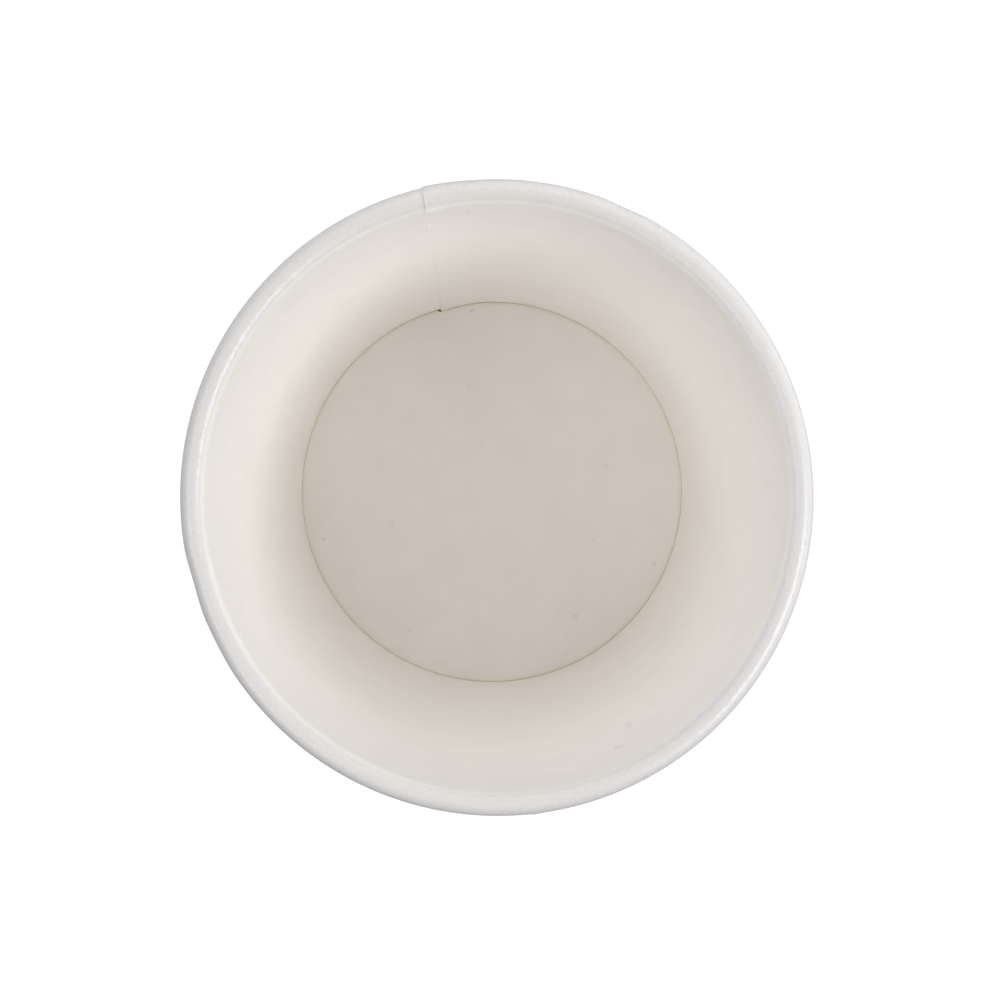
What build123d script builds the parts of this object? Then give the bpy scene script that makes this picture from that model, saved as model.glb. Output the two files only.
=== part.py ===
from build123d import *

import os
from math import asin, atan2, cos, degrees, hypot, sin, sqrt, tan

# A single-wall paper cup of two pieces of board. The side wall is wrapped into a cone with a lapped seam,
# rolled outwards at the rim and folded inwards and up at the foot. The base disc is a shallow pan whose
# skirt points down and is held between the wall and that fold.
# The origin is at the centre of the foot, on the table, with +Z up the axis and the seam centred on +Y.

# Overall sizes, in millimetres
rim_diameter = 80.0
foot_diameter = 56.0
cup_height = 92.0

# Board, and the sealing film between two plies that lie face to face
wall_board = 0.35
base_board = 0.30
seal_gap = 0.03

# Rolled rim: the roll goes most of the way round the bead, and its cut edge tucks in behind
bead_diameter = 3.1
roll_gap = 0.15
tuck_turn = 180.0

# Side seam: two edges lap with parallel sides, and each ply swells the face that it lies on.
# The swelling is one board high at the cut edge and feathers out across the lap.
lap_width = 6.6
lap_root_share = 0.6
lap_feather_share = 0.12
lap_place_shares = (-0.5, -0.25, 0.0, 0.25, 0.5)

# Base: height of the drink side of the disc, the bend into its skirt, and the room above the fold's edge
base_recess = 7.6
base_bend_radius = 0.6
fold_room = 0.7
crease_share = 0.25

# Angles, in degrees
quarter_turn = 90.0

# Sizes that follow
foot_radius = foot_diameter / 2
bead_radius = bead_diameter / 2
bead_center_radius = rim_diameter / 2 - bead_radius
bead_center_height = cup_height - bead_radius
tuck_radius = bead_radius - wall_board - roll_gap
base_slot = base_board + 2 * seal_gap
crease_radius = base_slot * crease_share
fold_height = base_recess - base_bend_radius - fold_room
lap_root = wall_board * lap_root_share
lap_feather = wall_board * lap_feather_share

# The outer face rises from the foot and passes inside the bead's centre, one board less than its radius
rim_run = bead_center_radius - foot_radius
rim_reach = hypot(rim_run, bead_center_height)
wall_lean = atan2(rim_run, bead_center_height) - asin((bead_radius - wall_board) / rim_reach)
roll_turn = 3 * quarter_turn - degrees(wall_lean)


def wall_radius(height, inset):
    """Radius at a height of a face that lies the inset inside the wall's outer face."""
    return foot_radius + height * tan(wall_lean) - inset / cos(wall_lean)


def chord(radius, across):
    """Distance out to a circle of this radius, on a line that passes its centre by the distance across."""
    return sqrt(radius**2 - across**2)


def swelling(place_share):
    """Height of a lapped ply over the face under it, from 0 at its cut edge to 1 at the lap's far side."""
    return wall_board - (wall_board + lap_feather) * place_share


with BuildPart() as side_wall:
    # One ply, traced along the middle of the board from its cut edge in the foot to the one in the rim
    with BuildSketch(Plane.XZ):
        with BuildLine():
            wall_inset = wall_board / 2
            fold_inset = wall_board + base_slot + wall_board / 2
            foot_height = wall_board / 2
            roll_radius = bead_radius - wall_inset
            ply = FilletPolyline(
                (wall_radius(fold_height, fold_inset), fold_height),
                (wall_radius(foot_height, fold_inset), foot_height),
                (wall_radius(foot_height, wall_inset), foot_height),
                (
                    bead_center_radius - roll_radius * cos(wall_lean),
                    bead_center_height + roll_radius * sin(wall_lean),
                ),
                radius=crease_radius + wall_board / 2,
            )
            roll = JernArc(ply @ 1, ply % 1, roll_radius, -roll_turn)
            JernArc(roll @ 1, roll % 1, tuck_radius - wall_inset, -tuck_turn)
        trace(line_width=wall_board)
    revolve(axis=Axis.Z)

    # Inner ply of the seam, from the base up over the bead, with its cut edge on the -X side
    for place_share in lap_place_shares:
        across = lap_width * place_share
        proud = swelling(place_share - lap_place_shares[0])
        middle = (proud - lap_root) / 2
        with BuildSketch(Plane.YZ.offset(across)):
            with BuildLine():
                lap_foot = base_recess + seal_gap
                roll_radius = bead_radius + middle
                lap = Line(
                    (chord(wall_radius(lap_foot, wall_board + middle), across), lap_foot),
                    (
                        chord(bead_center_radius, across) - roll_radius * cos(wall_lean),
                        bead_center_height + roll_radius * sin(wall_lean),
                    ),
                )
                JernArc(lap @ 1, lap % 1, roll_radius, -roll_turn)
            trace(line_width=proud + lap_root)
    loft()

    # Outer ply of the seam, from the foot up into the bead, with its cut edge on the +X side
    for place_share in lap_place_shares:
        across = lap_width * place_share
        proud = swelling(lap_place_shares[-1] - place_share)
        middle = (proud - lap_root) / 2
        with BuildSketch(Plane.YZ.offset(across)):
            with BuildLine():
                lap_foot = wall_board
                lap_top = bead_center_height - bead_radius + tuck_radius
                Line(
                    (chord(wall_radius(lap_foot, -middle), across), lap_foot),
                    (chord(wall_radius(lap_top, -middle), across), lap_top),
                )
            trace(line_width=proud + lap_root)
    loft()

with BuildPart() as base_disc:
    # The pan, traced along the middle of its board from the axis out over the bend and down the skirt
    with BuildSketch(Plane.XZ):
        with BuildLine():
            disc_height = base_recess - base_board / 2
            skirt_inset = wall_board + seal_gap + base_board / 2
            skirt_foot = wall_board + crease_radius + seal_gap
            FilletPolyline(
                (0, disc_height),
                (wall_radius(disc_height, skirt_inset), disc_height),
                (wall_radius(skirt_foot, skirt_inset), skirt_foot),
                radius=base_bend_radius - base_board / 2,
            )
        trace(line_width=base_board)
    revolve(axis=Axis.Z)

os.makedirs("parts", exist_ok=True)
side_wall.part.label = "side_wall"
export_step(side_wall.part, "parts/side_wall.step")
base_disc.part.label = "base_disc"
export_step(base_disc.part, "parts/base_disc.step")
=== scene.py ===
# %% [markdown]
# A paper cup, from two pieces of board
#
# A single-wall paper cup is a fan of coated board wrapped into a cone, and a round blank pressed into a
# shallow pan that closes it. Both are drawn here as bent sheets that get the board's thickness afterwards,
# because one sheet is easier to bend and to lap than two faces that have to stay a board apart.
#
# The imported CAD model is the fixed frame. It gives the size and the place of both pieces, in metres, with
# the origin on the table at the centre of the foot, +Z up the cup and the seam centred on +Y.

from math import asin, atan2, cos, degrees, hypot, pi, radians, sin, tan

import bmesh
import bpy
from mathutils import Matrix, Vector


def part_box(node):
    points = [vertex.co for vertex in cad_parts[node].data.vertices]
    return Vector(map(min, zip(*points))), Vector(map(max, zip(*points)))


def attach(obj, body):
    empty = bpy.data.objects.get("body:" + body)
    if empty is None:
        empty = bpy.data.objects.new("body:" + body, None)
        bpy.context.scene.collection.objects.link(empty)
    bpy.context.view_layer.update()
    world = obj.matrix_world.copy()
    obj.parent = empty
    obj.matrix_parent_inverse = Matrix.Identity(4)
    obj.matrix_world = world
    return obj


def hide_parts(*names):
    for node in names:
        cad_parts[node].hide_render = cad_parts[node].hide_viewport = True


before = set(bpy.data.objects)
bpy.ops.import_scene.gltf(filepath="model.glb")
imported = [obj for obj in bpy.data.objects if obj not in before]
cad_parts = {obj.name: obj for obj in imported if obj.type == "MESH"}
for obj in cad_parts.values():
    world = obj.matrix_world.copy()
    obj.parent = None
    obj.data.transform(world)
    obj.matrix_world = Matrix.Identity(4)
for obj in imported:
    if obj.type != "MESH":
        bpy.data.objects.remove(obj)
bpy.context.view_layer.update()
mm = 0.001

# %% [markdown]
# Sizes of the cup
#
# The rim, the height and the recess of the base are read from the frame. The board, the bead and the foot
# are sizes that the frame's boxes don't show, so they are named here again. The wall's lean follows from
# them: its outer face rises from the foot and passes just inside the middle of the bead.

# %% Sizes of the cup
wall_board = 0.35 * mm
base_board = 0.30 * mm
seal_gap = 0.03 * mm
foot_radius = 28 * mm
bead_radius = 1.55 * mm

# The CAD seam stands one board above the rim, so that board is taken off the wall's box
_, wall_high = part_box("side_wall")
_, disc_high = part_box("base_disc")
rim_radius = wall_high.x
cup_height = wall_high.z - wall_board
base_recess = disc_high.z
bead_center_radius = rim_radius - bead_radius
bead_center_height = cup_height - bead_radius

rim_run = bead_center_radius - foot_radius
rim_reach = hypot(rim_run, bead_center_height)
wall_lean = atan2(rim_run, bead_center_height) - asin((bead_radius - wall_board) / rim_reach)


def wall_radius(height, inset):
    """Radius at a height of a face that lies the inset inside the wall's outer face."""
    return foot_radius + height * tan(wall_lean) - inset / cos(wall_lean)


print(f"wall leans {degrees(wall_lean):.2f} degrees, cup is {cup_height / mm:.2f} mm high")

# %% [markdown]
# The section of the wall
#
# One line on the drink side of the board holds the whole form: the cut edge inside the foot, two creases,
# the straight wall, the rolled rim and the edge that tucks in behind it. It could be a list of sampled
# points, but a pen that draws straight runs and arcs keeps every bend round and every size named.
# Extruding a vertex draws a straight run, and spinning a vertex about a centre draws an arc.

# %% A pen that draws in the XZ plane


def line_to(bm, pen, radius, height, parts=1):
    """Draws a straight run from the pen's vertex, in equal parts, and returns the vertex at its end."""
    start = pen.co.copy()
    end = Vector((radius, 0, height))
    for part in range(parts):
        pen = bmesh.ops.extrude_vert_indiv(bm, verts=[pen])["verts"][0]
        pen.co = start.lerp(end, (part + 1) / parts)
    return pen


def arc_about(bm, pen, radius, height, turn, parts):
    """Draws an arc from the pen's vertex about a centre and returns its end. A positive turn is clockwise."""
    center = (radius, 0, height)
    swept = bmesh.ops.spin(bm, geom=[pen], cent=center, axis=(0, 1, 0), angle=turn, steps=parts)
    return [item for item in swept["geom_last"] if isinstance(item, bmesh.types.BMVert)][0]


# %% Sizes of the foot, the seam's ends and the bead
base_slot = base_board + 2 * seal_gap
fold_inset = wall_board + base_slot
fold_height = 6.3 * mm
crease_radius = 0.09 * mm
crease_height = wall_board + crease_radius
fold_crease = wall_radius(crease_height, fold_inset - crease_radius)
wall_crease = wall_radius(crease_height, wall_board + crease_radius)

# The seam's step starts under the edge of the base disc and is at its full height just below the disc's top
lap_start_depth = 0.6 * mm
lap_full_depth = 0.25 * mm
lap_foot = base_recess - lap_start_depth
lap_full = base_recess - lap_full_depth
lump_height = 81.6 * mm

roll_start = bead_center_height + bead_radius * sin(wall_lean)
roll_turn = 3 * pi / 2 - wall_lean
tuck_radius = 1.05 * mm
tuck_height = bead_center_height - bead_radius + tuck_radius
print(f"bead turns {degrees(roll_turn):.1f} degrees before its edge tucks in")

# %% Draw the section of the wall
# The straight wall has more points near the base and near the seam's lump, where its form changes quickly
base_zone = 6.4 * mm
lump_zone = 1.6 * mm
wall_runs = (
    (lap_foot, 4),
    (base_recess, 4),
    (base_recess + base_zone, 6),
    (lump_height - lump_zone, 22),
    (lump_height + lump_zone, 8),
    (roll_start, 4),
)

wall = bmesh.new()
pen = wall.verts.new((wall_radius(fold_height, fold_inset), 0, fold_height))
pen = line_to(
    wall,
    pen,
    fold_crease - crease_radius * cos(wall_lean),
    crease_height + crease_radius * sin(wall_lean),
    parts=8,
)
pen = arc_about(wall, pen, fold_crease, crease_height, -(pi / 2 + wall_lean), parts=4)
pen = line_to(wall, pen, wall_crease, wall_board)
pen = arc_about(wall, pen, wall_crease, crease_height, -(pi / 2 - wall_lean), parts=4)
for height, parts in wall_runs:
    pen = line_to(wall, pen, wall_radius(height, wall_board), height, parts)
pen = arc_about(wall, pen, bead_center_radius, bead_center_height, roll_turn, parts=28)
arc_about(wall, pen, bead_center_radius, tuck_height, pi, parts=12)
print("section of the wall:", len(wall.verts), "points")

# %% [markdown]
# From the section to an open fan
#
# The flat blank of a cone is a fan, and its two straight edges lap each other in the finished cup. If the
# section were spun all the way round, the columns of the two plies would stand at the same angles and
# could not be told apart. So it is spun to an open fan first, where each column has an angle of its own.
# The normals are set to the drink side here, before anything is lapped or thickened.

# %% Spin the section into an open fan
lap_columns = 8
wall_columns = 352
last_ply = lap_columns + wall_columns
fan_columns = lap_columns + wall_columns + lap_columns
fan_angle = radians(300)
column_angle = fan_angle / fan_columns

bmesh.ops.spin(
    wall,
    geom=wall.verts[:] + wall.edges[:],
    axis=(0, 0, 1),
    angle=-fan_angle,
    steps=fan_columns,
)
bmesh.ops.recalc_face_normals(wall, faces=wall.faces[:])


def faces_inwards(face):
    """True if a face of the wall looks at the cup's axis."""
    center = face.calc_center_median()
    return face.normal.x * center.x + face.normal.y * center.y < 0


def on_wall(face):
    """True if a face is on the straight part of the wall, above the base and below the bead."""
    center = face.calc_center_median()
    return base_recess < center.z < tuck_height and hypot(center.x, center.y) < wall_radius(center.z, 0)


if not all(faces_inwards(face) for face in wall.faces if on_wall(face)):
    bmesh.ops.reverse_faces(wall, faces=wall.faces[:])
wall.normal_update()
print("open fan:", len(wall.faces), "faces")

# %% [markdown]
# The lapped seam
#
# Where the two edges lap, each ply lies on the other and the sealing jaws press both thin. On the drink side
# the cut edge is left as a fine step that is pressed to a short ramp, a clearer step on the bead, and a full
# board where the base disc's skirt pushes the ply inwards. A small lump of film stands on it below the rim.
# Outside it is the other way round: that ply leaves the wall across the lap and ends in a pressed edge. It
# stops short of the foot and of the bead's inside, where there is no room.
#
# A ply's rise moves its points along their normals. Its share of the full board goes into a vertex weight,
# which thins the ply when the sheet gets its thickness.

# %% Find a column and its place in the lap
# The second column lies close to the cut edge, and the ramp of the pressed edge is between the two
lap_shares = (0, 0.035, 0.16, 0.3, 0.44, 0.58, 0.72, 0.86, 1)


def column_of(point):
    """Number of the fan's column that a point is on, counted from the inner cut edge."""
    clockwise = atan2(-point.y, point.x) + column_angle / 2
    return int(clockwise % (2 * pi) / column_angle)


def lap_share(column):
    """How far across the lap a column lies, from 0 at the inner cut edge to 1 at the outer one."""
    if column <= lap_columns:
        return lap_shares[column]
    return 1 - lap_shares[last_ply + lap_columns - column]


print("columns in each ply of the lap:", lap_columns)

# %% Height of the inner ply over the wall
low_step = 0.18 * mm
high_step = 0.07 * mm
low_step_top = 0.4 * cup_height
high_step_foot = 0.7 * cup_height
bead_step = 0.16 * mm
skirt_push = 4 * mm
pressed_share = 0.1
lump_reach = 0.9 * mm
lump_rise = 0.5 * mm


def smooth_step(value, low, high):
    """Rises from 0 at low to 1 at high, without a kink at either end."""
    share = min(max((value - low) / (high - low), 0), 1)
    return share * share * (3 - 2 * share)


def mix(first, second, share):
    """The value that is the share of the way from the first to the second."""
    return first + (second - first) * share


def inner_rise(share, height):
    """Height of the inner ply over the wall, from its cut edge to where it joins the wall."""
    over_skirt = 1 - smooth_step(height, base_recess, base_recess + skirt_push)
    on_bead = smooth_step(height, tuck_height, roll_start)
    wall_step = mix(low_step, high_step, smooth_step(height, low_step_top, high_step_foot))
    step = mix(mix(wall_step, wall_board, over_skirt), bead_step, on_bead)
    edge = mix(pressed_share, 1, max(over_skirt, on_bead)) if share == 0 else 1
    at_lump = 1 - smooth_step(abs(height - lump_height), 0, lump_reach)
    lump = lump_rise * at_lump * (1 - smooth_step(share, lap_shares[1], lap_shares[2]))
    return (step * edge * (1 - share) + lump) * smooth_step(height, lap_foot, lap_full)


print(f"top of the lump: {inner_rise(0, lump_height) / mm:.2f} mm over the wall")

# %% Lap the two edges of the fan
outer_step = 0.15 * mm
under_bead_columns = 3

# A gap keeps the plies' faces apart, and the thinnest ply still has two faces of its own
ply_gap = 0.01 * mm
thinnest_ply = 0.003 * mm
thickness_group = 0


def has_no_room(face):
    """True for faces of the outer ply that would run into the foot or into the tuck of the bead."""
    center = face.calc_center_median()
    ply_column = min(column_of(vert.co) for vert in face.verts) - last_ply
    off_wall = hypot(center.x, center.y) - wall_radius(center.z, wall_board)
    in_foot = center.z < crease_height or off_wall < -seal_gap
    in_bead = center.z > roll_start or off_wall > seal_gap
    return ply_column >= 0 and (in_foot or (in_bead and ply_column >= under_bead_columns))


bmesh.ops.delete(wall, geom=[face for face in wall.faces if has_no_room(face)], context="FACES")
weight = wall.verts.layers.deform.verify()
for vert in wall.verts:
    column = column_of(vert.co)
    rise = 0
    thickness = wall_board
    if column < lap_columns:
        share = lap_share(column)
        rise = inner_rise(share, vert.co.z)
        thickness = max(rise + wall_board * share - ply_gap, thinnest_ply)
    elif column > last_ply:
        share = lap_share(column)
        rise = -wall_board * share
        thickness = mix(wall_board, outer_step, share)
    vert.co += vert.normal * rise
    vert[weight][thickness_group] = thickness / wall_board
print("faces after trimming the outer ply:", len(wall.faces))

# %% [markdown]
# Wrapping the fan into a cone
#
# Every point keeps its distance from the axis and its height, and only its angle changes. The lap has the
# same width from the foot to the rim, because the blank's edges are parallel to the seam, so a lap column
# is placed by its distance across the seam. The other columns share out the rest of the turn.

# %% Wrap the fan into a cone
lap_width = 6.6 * mm
middle_share = 0.5


def lap_angle(column, radius):
    """Angle from the middle of the seam to a column of either ply."""
    across = lap_width * (lap_share(column) - middle_share)
    return asin(across / radius)


def wrapped_angle(column, radius):
    """Angle of a column on the finished cone, clockwise from the middle of the seam."""
    if column <= lap_columns:
        return lap_angle(column, radius)
    if column >= last_ply:
        return 2 * pi + lap_angle(column, radius)
    half_lap = lap_angle(lap_columns, radius)
    return half_lap + (column - lap_columns) / wall_columns * (2 * pi - 2 * half_lap)


for vert in wall.verts:
    radius = hypot(vert.co.x, vert.co.y)
    angle = wrapped_angle(column_of(vert.co), radius)
    vert.co.x = radius * sin(angle)
    vert.co.y = radius * cos(angle)
print("lap at the rim:", round(2 * degrees(lap_angle(lap_columns, bead_center_radius)), 2), "degrees")

# %% [markdown]
# A rim that has been handled
#
# A cup that has been stacked and picked up is never quite round. The rim is drawn out a little towards its
# stiff seam, its bead is pressed flat at one place, and it has a few smaller knocks. These could be a bump
# pattern, but they show in the outline, so the points themselves are moved, with a smooth falloff.

# %% Draw the rim out of round and press its dents
rim_stretch = 0.12 * mm
stretch_angle = radians(95)

for vert in wall.verts:
    around = atan2(vert.co.y, vert.co.x)
    out = Vector((cos(around), sin(around), 0))
    vert.co += out * rim_stretch * cos(2 * (around - stretch_angle)) * vert.co.z / cup_height


def press(bm, angle, radius, height, reach, depth):
    """Pushes the points near a place towards the axis. The push fades out over the reach."""
    out = Vector((cos(angle), sin(angle), 0))
    place = out * radius + Vector((0, 0, height))
    for vert in bm.verts:
        away = (vert.co - place).length / reach
        if away < 1:
            vert.co -= out * depth * (1 - away**2) ** 2


# The last dent has a negative depth: it is a small bulge
rim_dents = (
    {"angle": radians(187), "reach": 5.0 * mm, "depth": 0.22 * mm},
    {"angle": radians(197), "reach": 6.0 * mm, "depth": 0.10 * mm},
    {"angle": radians(57), "reach": 3.5 * mm, "depth": 0.12 * mm},
    {"angle": radians(268), "reach": 1.0 * mm, "depth": -0.10 * mm},
)
for dent in rim_dents:
    press(wall, radius=rim_radius, height=bead_center_height, **dent)
print("dents in the rim:", len(rim_dents))

# %% [markdown]
# From a sheet to a board
#
# Solidify gives the sheet the thickness of the board on the side away from the drink, thinned by the weights
# of the vertices. Its material offsets give the outside of the board and the raw cut edges finishes of their
# own. The modifier is applied, so that the cut edges can then be marked sharp by their angle while the bends
# stay smooth.

# %% Give a sheet the thickness of its board
sharp_angle = radians(50)


def board_from_sheet(name, sheet, thickness, finishes):
    """Makes a piece from a sheet: drink side, outside and cut edges take the three finishes in turn."""
    mesh = bpy.data.meshes.new(name)
    sheet.to_mesh(mesh)
    sheet.free()
    piece = bpy.data.objects.new(name, mesh)
    bpy.context.scene.collection.objects.link(piece)
    piece.vertex_groups.new(name="thickness")
    for finish in finishes:
        mesh.materials.append(finish)
    solid = piece.modifiers.new("board", "SOLIDIFY")
    solid.thickness = thickness
    solid.vertex_group = "thickness"
    solid.offset = -1
    solid.use_even_offset = True
    solid.material_offset = 1
    solid.material_offset_rim = 2
    solid_piece = piece.evaluated_get(bpy.context.evaluated_depsgraph_get())
    piece.data = bpy.data.meshes.new_from_object(solid_piece)
    piece.modifiers.clear()
    piece.data.shade_smooth()
    piece.data.set_sharp_from_angle(angle=sharp_angle)
    print(name, "has", len(piece.data.polygons), "faces")
    return piece


# %% [markdown]
# The base disc
#
# The pan is a flat round of board that dips at its edge and bends into a skirt, which points down between
# the wall and its fold. It could start from a circle that is inset and extruded, but the same pen and one
# full spin give the bend its true radius. The shallow groove beside the wall is the thin line round the base.
# Under the lap the inner ply pushes the disc's edge in, which leaves a small notch beside the ply's cut edge.

# %% Draw and spin the base disc
skirt_inset = wall_board + seal_gap / 2
skirt_foot = wall_board + crease_radius + seal_gap
skirt_room = 0.15 * mm
skirt_free = fold_height + skirt_room
dip_run = 0.5 * mm
dip_depth = 0.1 * mm
dip_angle = atan2(dip_depth, dip_run)
base_bend_radius = 0.12 * mm
bend_turn = pi / 2 + wall_lean - dip_angle
bend_height = base_recess - dip_depth - base_bend_radius * cos(dip_angle)
bend_center = wall_radius(bend_height, skirt_inset + base_bend_radius)
dip_end = bend_center + base_bend_radius * sin(dip_angle)
disc_columns = 360
merge_reach = 0.01 * mm

disc = bmesh.new()
pen = disc.verts.new((0, 0, base_recess))
pen = line_to(disc, pen, dip_end - dip_run, base_recess, parts=20)
pen = line_to(disc, pen, dip_end, base_recess - dip_depth, parts=3)
pen = arc_about(disc, pen, bend_center, bend_height, bend_turn, parts=6)
pen = line_to(disc, pen, wall_radius(skirt_free, skirt_inset), skirt_free, parts=2)
line_to(disc, pen, wall_radius(skirt_foot, skirt_inset), skirt_foot, parts=3)
bmesh.ops.spin(
    disc,
    geom=disc.verts[:] + disc.edges[:],
    axis=(0, 0, 1),
    angle=2 * pi,
    steps=disc_columns,
    use_merge=True,
)
bmesh.ops.remove_doubles(disc, verts=disc.verts[:], dist=merge_reach)
bmesh.ops.recalc_face_normals(disc, faces=disc.faces[:])
print("base disc:", len(disc.faces), "faces")

# %% Thin the disc's bend and push its edge in under the lap
# A board that bends more tightly than it is thick would fold over itself, so it is thinned at the bend
bend_fill_share = 0.9
corner_board = bend_fill_share * base_bend_radius
push_start_share = -0.05

weight = disc.verts.layers.deform.verify()
for vert in disc.verts:
    in_corner = bend_height - base_bend_radius < vert.co.z < base_recess - dip_depth / 2
    vert[weight][thickness_group] = corner_board / base_board if in_corner else 1
    share = vert.co.x / lap_width + middle_share
    at_edge = hypot(vert.co.x, vert.co.y) > dip_end - 2 * dip_run and vert.co.z > skirt_free + seal_gap
    if at_edge and vert.co.y > 0 and push_start_share < share < 1:
        vert.co.y -= wall_board * (1 - max(share, 0))
top_face = max(disc.faces, key=lambda face: face.calc_center_median().z)
if top_face.normal.z < 0:
    bmesh.ops.reverse_faces(disc, faces=disc.faces[:])
print(f"board at the disc's bend: {corner_board / mm:.2f} mm")

# %% [markdown]
# Two helpers for the finishes
#
# Colours are written as a colour picker shows them, in sRGB, and one function turns them to the linear
# values that shaders take. A second one adds a node with its settings and links, so that a finish reads
# as a short list of what happens on the surface. A Mix node has sockets of the same name for each kind of
# data, so the ones for colours are picked by number.

# %% Helpers for the finishes
mix_share = 0
mix_first = 6
mix_second = 7
mix_result = 2


def linear(hex_colour):
    """Turns an sRGB hex colour into linear RGBA."""
    channels = [int(hex_colour[start : start + 2], 16) / 255 for start in (1, 3, 5)]
    return [c / 12.92 if c <= 0.04045 else ((c + 0.055) / 1.055) ** 2.4 for c in channels] + [1]


def add(tree, kind, inputs=None, **settings):
    """Adds a node. Settings are its own properties, and each input is a value or a socket that feeds it."""
    node = tree.nodes.new(kind)
    for name, value in settings.items():
        setattr(node, name, value)
    for name, value in (inputs or {}).items():
        if isinstance(value, bpy.types.NodeSocket):
            tree.links.new(value, node.inputs[name])
        else:
            node.inputs[name].default_value = value
    return node


def new_finish(name):
    """Starts a material and returns it with its empty node tree."""
    material = bpy.data.materials.new(name)
    material.use_nodes = True
    material.node_tree.nodes.clear()
    return material, material.node_tree


# %% [markdown]
# Polyethylene-coated paperboard
#
# The drink side is bleached board under a thin film of polyethylene that is pressed on hot by a satin
# roller. The eye sees a slightly warm white, faintly cloudy from the fibres, with a soft sheen and no clear
# reflection. Inside the cup light bounces many times between such walls, which warms and deepens it.
#
# On the bead the board is stretched round a tight bend, so it shows its fibres and has a sharper sheen. Its
# colour is greyer than the wall's: painted shade that darkens the brightly lit rim, though it is the same
# film.
# The sealed groove round the base is tinted light brown, partly by the seal itself and partly as painted
# shade of the groove. The specks of dirt are soft spots at places of their own. They are drawn out upwards,
# because the steep wall is seen almost edge on.

# %% Film and bead
# Single fibres are too fine to show in the render, so the bead's pattern is drawn as coarse as it needs
cloud_size = 5 * mm
bead_fibre_size = 0.4 * mm
bead_start = bead_center_radius - bead_radius
bead_blend = 0.8 * mm


def clouded_film(tree, place, film_hex, cloud_hex):
    """Colour of the film on the wall and the disc, faintly cloudy from the fibres under it."""
    clouds = add(tree, "ShaderNodeTexNoise", {"Vector": place, "Scale": 1 / cloud_size, "Detail": 4})
    cloudy = add(
        tree,
        "ShaderNodeMapRange",
        {"Value": clouds.outputs["Fac"], "From Min": 0.35, "From Max": 0.65},
    )
    film = add(
        tree,
        "ShaderNodeMix",
        {mix_share: cloudy.outputs["Result"], mix_first: linear(film_hex), mix_second: linear(cloud_hex)},
        data_type="RGBA",
    )
    return film.outputs[mix_result]


def share_on_bead(tree, place):
    """Rises from 0 on the wall to 1 on the bead, by the distance from the cup's axis."""
    level = add(tree, "ShaderNodeVectorMath", {0: place, 1: (1, 1, 0)}, operation="MULTIPLY")
    from_axis = add(tree, "ShaderNodeVectorMath", {0: level.outputs["Vector"]}, operation="LENGTH")
    on_bead = add(
        tree,
        "ShaderNodeMapRange",
        {
            "Value": from_axis.outputs["Value"],
            "From Min": bead_start,
            "From Max": bead_start + bead_blend,
        },
        interpolation_type="SMOOTHSTEP",
    )
    return on_bead.outputs["Result"]


# %% Stain and specks
drawn_out = 5
# The tint along the groove is partly the seal's own light brown and partly painted shade of the groove
stain_and_shade_hex = "#F7F1E7"
dirt_hex = "#7C776F"


def stained_and_shaded(tree, place, colour, groove_height, groove_blur):
    """Tints a colour light brown below the height of the sealed groove, partly the seal's own brown and
    partly painted shade of the groove.
    """
    height = add(tree, "ShaderNodeSeparateXYZ", {"Vector": place}).outputs["Z"]
    in_groove = add(
        tree,
        "ShaderNodeMapRange",
        {
            "Value": height,
            "From Min": groove_height - groove_blur,
            "From Max": groove_height + groove_blur,
            "To Min": 1,
            "To Max": 0,
        },
        interpolation_type="SMOOTHSTEP",
    )
    # Painted shade of the groove, mixed with the seal's own brown
    stain_and_shade = add(
        tree,
        "ShaderNodeMix",
        {mix_share: in_groove.outputs["Result"], mix_first: colour, mix_second: linear(stain_and_shade_hex)},
        data_type="RGBA",
    )
    return stain_and_shade.outputs[mix_result]


def speckled(tree, place, colour, specks):
    """Puts specks of dirt on a colour: soft spots that are drawn out upwards."""
    flat = (1, 1, 1 / drawn_out)
    low = add(tree, "ShaderNodeVectorMath", {0: place, 1: flat}, operation="MULTIPLY")
    for x, y, z, reach, strength in specks:
        center = (x * mm, y * mm, z * mm / drawn_out)
        away = add(tree, "ShaderNodeVectorMath", {0: low.outputs["Vector"], 1: center}, operation="DISTANCE")
        speck = add(
            tree,
            "ShaderNodeMapRange",
            {"Value": away.outputs["Value"], "From Min": reach * mm, "From Max": 0, "To Max": strength},
            interpolation_type="SMOOTHSTEP",
        )
        dirty = add(
            tree,
            "ShaderNodeMix",
            {mix_share: speck.outputs["Result"], mix_first: colour, mix_second: linear(dirt_hex)},
            data_type="RGBA",
        )
        colour = dirty.outputs[mix_result]
    return colour


# %% Coated board
wall_roughness = 0.40
bead_roughness = 0.20
bead_relief = 0.06 * mm
polyethylene_ior = 1.5
# The bead's greyer colours are painted shade: they darken the brightly lit rim, which is the same film as the
# wall
painted_shade_bead_hex = "#EEECEB"
painted_shade_bead_fibre_hex = "#E0DEDD"


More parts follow.
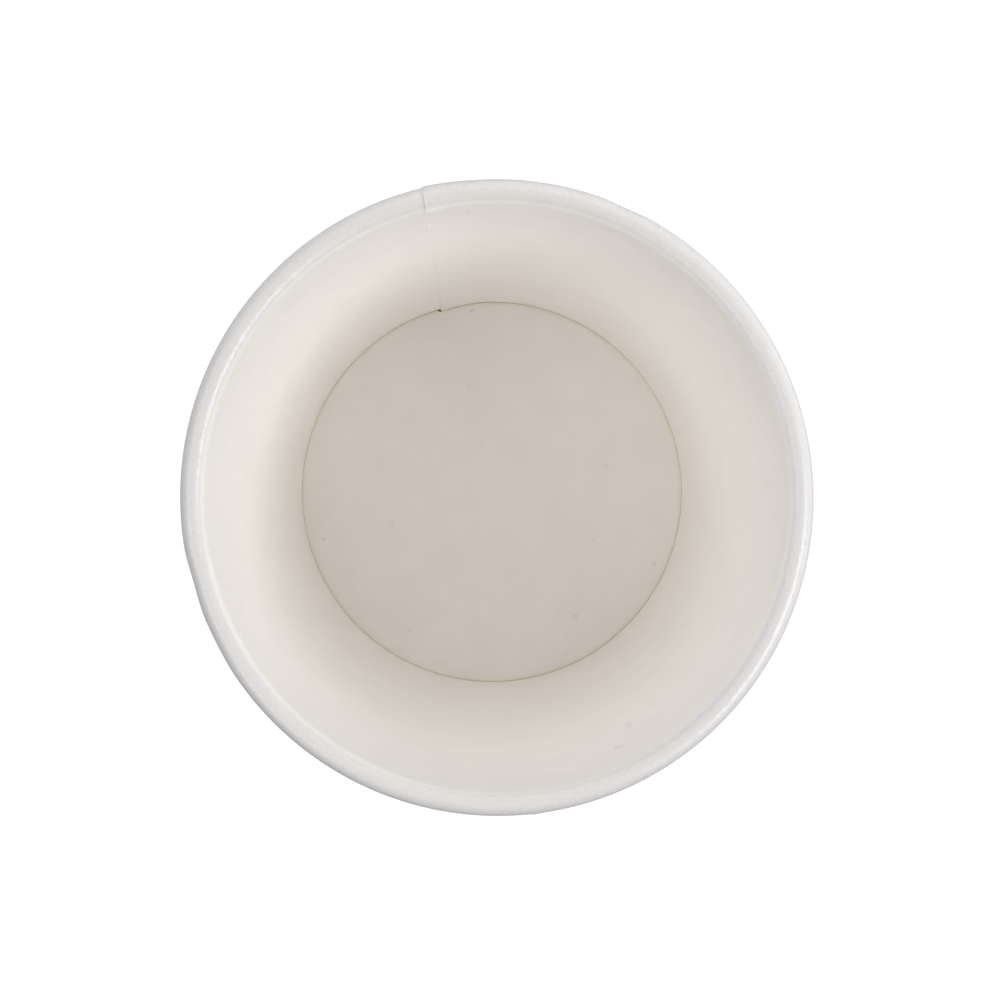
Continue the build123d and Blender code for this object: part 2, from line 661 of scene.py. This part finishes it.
def coated_board(name, film_hex, cloud_hex, groove_height, groove_blur, specks):
    """Board under a satin film, with a few specks of dirt. The bead is greyer as painted shade, and the
    sealed groove round the base is tinted light brown, partly as painted shade.
    """
    material, tree = new_finish(name)
    place = add(tree, "ShaderNodeTexCoord").outputs["Object"]
    on_bead = share_on_bead(tree, place)
    fibres = add(tree, "ShaderNodeTexNoise", {"Vector": place, "Scale": 1 / bead_fibre_size, "Detail": 3})
    # The bead's colour is painted shade, greyer than the film of the wall
    bead = add(
        tree,
        "ShaderNodeMix",
        {mix_share: fibres.outputs["Fac"], mix_first: linear(painted_shade_bead_hex), mix_second: linear(painted_shade_bead_fibre_hex)},
        data_type="RGBA",
    )
    film = add(
        tree,
        "ShaderNodeMix",
        {
            mix_share: on_bead,
            mix_first: clouded_film(tree, place, film_hex, cloud_hex),
            mix_second: bead.outputs[mix_result],
        },
        data_type="RGBA",
    )
    colour = stained_and_shaded(tree, place, film.outputs[mix_result], groove_height, groove_blur)
    sheen = add(
        tree,
        "ShaderNodeMapRange",
        {"Value": on_bead, "To Min": wall_roughness, "To Max": bead_roughness},
    )
    relief = add(
        tree,
        "ShaderNodeBump",
        {"Height": fibres.outputs["Fac"], "Distance": bead_relief, "Strength": on_bead},
    )
    shader = add(
        tree,
        "ShaderNodeBsdfPrincipled",
        {
            "Base Color": speckled(tree, place, colour, specks),
            "Roughness": sheen.outputs["Result"],
            "Normal": relief.outputs["Normal"],
            "IOR": polyethylene_ior,
        },
    )
    add(tree, "ShaderNodeOutputMaterial", {"Surface": shader.outputs["BSDF"]})
    return material


# %% The films of the wall and the disc
# Each speck has its place (x, y, z) and its reach in millimetres, and then its strength
wall_specks = (
    (12.7, -32.5, 70.8, 0.7, 0.14),
    (10.2, -34.4, 80.4, 0.35, 0.2),
    (10.6, -34.3, 80.5, 0.35, 0.2),
    (11.0, -34.2, 80.7, 0.35, 0.15),
    (25.4, 15.6, 21.5, 0.3, 0.2),
    (2.0, 36.3, 85.5, 0.6, 0.12),
)
disc_top = base_recess / mm
disc_specks = (
    (-26.0, -3.1, disc_top, 0.4, 0.28),
    (1.1, 27.2, disc_top, 0.35, 0.25),
    (1.5, 27.3, disc_top, 0.3, 0.2),
    (9.4, -20.3, disc_top, 0.7, 0.15),
    (22.3, -14.4, disc_top, 0.55, 0.15),
    (17.6, 1.2, disc_top, 0.4, 0.12),
    (-15.5, -2.2, disc_top, 0.6, 0.1),
    (-15.5, -18.7, disc_top, 0.35, 0.12),
    (-1.0, 16.2, disc_top, 0.35, 0.1),
    (13.8, -9.4, disc_top, 0.35, 0.12),
)
wall_film = coated_board(
    "polyethylene_coated_wall",
    film_hex="#FDFBF8",
    cloud_hex="#FAF8F6",
    groove_height=base_recess,
    groove_blur=0.1 * mm,
    specks=wall_specks,
)
disc_film = coated_board(
    "polyethylene_coated_base",
    film_hex="#FBF8F4",
    cloud_hex="#F8F5F2",
    groove_height=base_recess - dip_depth / 2,
    groove_blur=dip_depth / 2,
    specks=disc_specks,
)
print("finishes:", wall_film.name, disc_film.name)

# %% [markdown]
# Plain outside of the board and its raw cut edges
#
# The outside is bleached board without a film: whiter, more matt and a little more fibrous. A cut edge
# shows the pulp inside the board, which is creamier and has no gloss at all. Both patterns are coarser than
# real fibres, which would be too fine to show.

# %% Outside of the board and cut edges
board_relief = 0.02 * mm


def plain_board(name, board_hex, fibre_hex, fibre_size, roughness):
    """Uncoated board: a matt surface with a fine relief of fibres."""
    material, tree = new_finish(name)
    place = add(tree, "ShaderNodeTexCoord").outputs["Object"]
    fibres = add(tree, "ShaderNodeTexNoise", {"Vector": place, "Scale": 1 / fibre_size, "Detail": 4})
    board = add(
        tree,
        "ShaderNodeMix",
        {mix_share: fibres.outputs["Fac"], mix_first: linear(board_hex), mix_second: linear(fibre_hex)},
        data_type="RGBA",
    )
    relief = add(
        tree,
        "ShaderNodeBump",
        {"Height": fibres.outputs["Fac"], "Distance": board_relief, "Strength": 0.5},
    )
    shader = add(
        tree,
        "ShaderNodeBsdfPrincipled",
        {
            "Base Color": board.outputs[mix_result],
            "Roughness": roughness,
            "Normal": relief.outputs["Normal"],
        },
    )
    add(tree, "ShaderNodeOutputMaterial", {"Surface": shader.outputs["BSDF"]})
    return material


outside_board = plain_board(
    "bleached_board_outside",
    board_hex="#F4F4F2",
    fibre_hex="#EBEBE9",
    fibre_size=0.8 * mm,
    roughness=0.6,
)
cut_edge = plain_board(
    "raw_board_edge",
    board_hex="#EFE8DC",
    fibre_hex="#DDD2C1",
    fibre_size=0.15 * mm,
    roughness=0.9,
)
print("finishes:", outside_board.name, cut_edge.name)

# %% [markdown]
# The two pieces on their body
#
# The cup has no joints, so its one body is called root and both pieces ride on it. Each one stands for the
# CAD node of the same part and takes its place in the render.

# %% Make the pieces
cup_wall = board_from_sheet("cup_wall", wall, wall_board, (wall_film, outside_board, cut_edge))
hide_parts("side_wall")
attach(cup_wall, "root")

cup_base = board_from_sheet("cup_base", disc, base_board, (disc_film, outside_board, cut_edge))
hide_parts("base_disc")
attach(cup_base, "root")

# %% [markdown]
# The floor
#
# The cup stands on a white sheet of acrylic that glows from below, as on a product table, so that shadows
# stay faint and the floor reads as plain white. A glow as strong as that would also light the cup, which
# would take all the shape out of the bead, so the floor is hidden from diffuse and glossy rays.

# %% Floor
floor_half = 10.0
floor_sheet = bmesh.new()
bmesh.ops.create_grid(floor_sheet, x_segments=1, y_segments=1, size=floor_half)
floor_mesh = bpy.data.meshes.new("floor")
floor_sheet.to_mesh(floor_mesh)
floor_sheet.free()
floor = bpy.data.objects.new("floor", floor_mesh)
bpy.context.scene.collection.objects.link(floor)
floor.visible_diffuse = False
floor.visible_glossy = False

floor_glow = 0.93
acrylic, acrylic_tree = new_finish("glowing_white_acrylic")
acrylic_shader = add(
    acrylic_tree,
    "ShaderNodeBsdfPrincipled",
    {
        "Base Color": linear("#606060"),
        "Roughness": 0.6,
        "Emission Color": linear("#FFFFFF"),
        "Emission Strength": floor_glow,
    },
)
add(acrylic_tree, "ShaderNodeOutputMaterial", {"Surface": acrylic_shader.outputs["BSDF"]})
floor_mesh.materials.append(acrylic)
print("floor:", 2 * floor_half, "m wide")

# %% [markdown]
# The camera
#
# The cup is seen from almost straight above. Its rim and its base are two circles then, and the small shift
# between their middles tells how far the camera stands to the side, and their sizes how high it is. The
# camera's axes are built from the picture's own right and up, so that the seam comes at its place.

# %% Camera
seam_in_picture = radians(98.9)
picture_roll = seam_in_picture - pi / 2
picture_right = Vector((cos(picture_roll), -sin(picture_roll), 0))
picture_up = Vector((sin(picture_roll), cos(picture_roll), 0))


def place_over_cup(to_right, to_top, height):
    """A place at a height, moved from the cup's axis to the right and to the top of the picture."""
    return to_right * picture_right + to_top * picture_up + Vector((0, 0, height))


camera_height = 532 * mm
camera_place = place_over_cup(to_right=-4.1 * mm, to_top=4.7 * mm, height=camera_height)
target = place_over_cup(to_right=0.36 * mm, to_top=-0.27 * mm, height=bead_center_height)
back = (camera_place - target).normalized()
right = picture_up.cross(back).normalized()
up = back.cross(right)

lens_data = bpy.data.cameras.new("camera")
lens_data.sensor_width = 36
lens_data.lens = 126.2
camera = bpy.data.objects.new("camera", lens_data)
camera.matrix_world = Matrix.Translation(camera_place) @ Matrix((right, up, back)).transposed().to_4x4()
bpy.context.scene.collection.objects.link(camera)
bpy.context.scene.camera = camera
print("camera looks down from", round(camera_height / mm), "mm")

# %% [markdown]
# The lights
#
# Three soft boxes look into the cup from above: the key at the right, a fill at the left and one over the top
# edge of the picture. Two low strips, at the right and at the top, lie below the rim, so they brighten the
# outer side of the bead and nothing inside. The room is brighter towards the top of the picture.
#
# Light that enters a deep white cup is passed on from wall to wall many times before it comes out again.
# With the usual few bounces the base would be far too dark, so more of them are allowed.

# %% Soft boxes
lamp_distance = 1.0


def level_towards(azimuth):
    """Level direction at an angle in degrees that is counted in the picture, from its right."""
    return cos(radians(azimuth)) * picture_right + sin(radians(azimuth)) * picture_up


def softbox(name, azimuth, elevation, width, height, power):
    """Adds an area light that looks at the rim. Its angles are in degrees, and its sides in metres."""
    data = bpy.data.lights.new(name, "AREA")
    data.shape = "RECTANGLE"
    data.size = width
    data.size_y = height
    data.energy = power
    away = level_towards(azimuth) * cos(radians(elevation)) + Vector((0, 0, sin(radians(elevation))))
    lamp = bpy.data.objects.new(name, data)
    lamp.location = away * lamp_distance + Vector((0, 0, cup_height))
    lamp.rotation_mode = "QUATERNION"
    lamp.rotation_quaternion = away.to_track_quat("Z", "Y")
    bpy.context.scene.collection.objects.link(lamp)
    print(name, "has", power, "W")


softbox("key_light", azimuth=335, elevation=43, width=0.70, height=0.45, power=4.85)
softbox("left_fill", azimuth=205, elevation=50, width=0.90, height=0.40, power=2.50)
softbox("top_fill", azimuth=90, elevation=38, width=0.90, height=0.50, power=1.50)
softbox("right_strip", azimuth=15, elevation=-2, width=1.20, height=0.06, power=2.2)
softbox("top_strip", azimuth=90, elevation=-2, width=1.20, height=0.06, power=1.2)

# %% Room and bounces
room_dark = 0.18
room_bright = 0.60
bright_side = level_towards(azimuth=80)

room = bpy.data.worlds.new("room")
room.use_nodes = True
room_tree = room.node_tree
room_tree.nodes.clear()
toward = add(room_tree, "ShaderNodeTexCoord").outputs["Generated"]
to_bright_side = add(room_tree, "ShaderNodeVectorMath", {0: toward, 1: bright_side}, operation="DOT_PRODUCT")
room_level = add(
    room_tree,
    "ShaderNodeMapRange",
    {"Value": to_bright_side.outputs["Value"], "From Min": -1, "To Min": room_dark, "To Max": room_bright},
)
room_glow = add(
    room_tree,
    "ShaderNodeBackground",
    {"Color": linear("#FFFFFF"), "Strength": room_level.outputs["Result"]},
)
add(room_tree, "ShaderNodeOutputWorld", {"Surface": room_glow.outputs["Background"]})
bpy.context.scene.world = room
bpy.context.scene.cycles.diffuse_bounces = 12
bpy.context.scene.view_settings.view_transform = "Standard"
print("room glows from", room_dark, "to", room_bright)
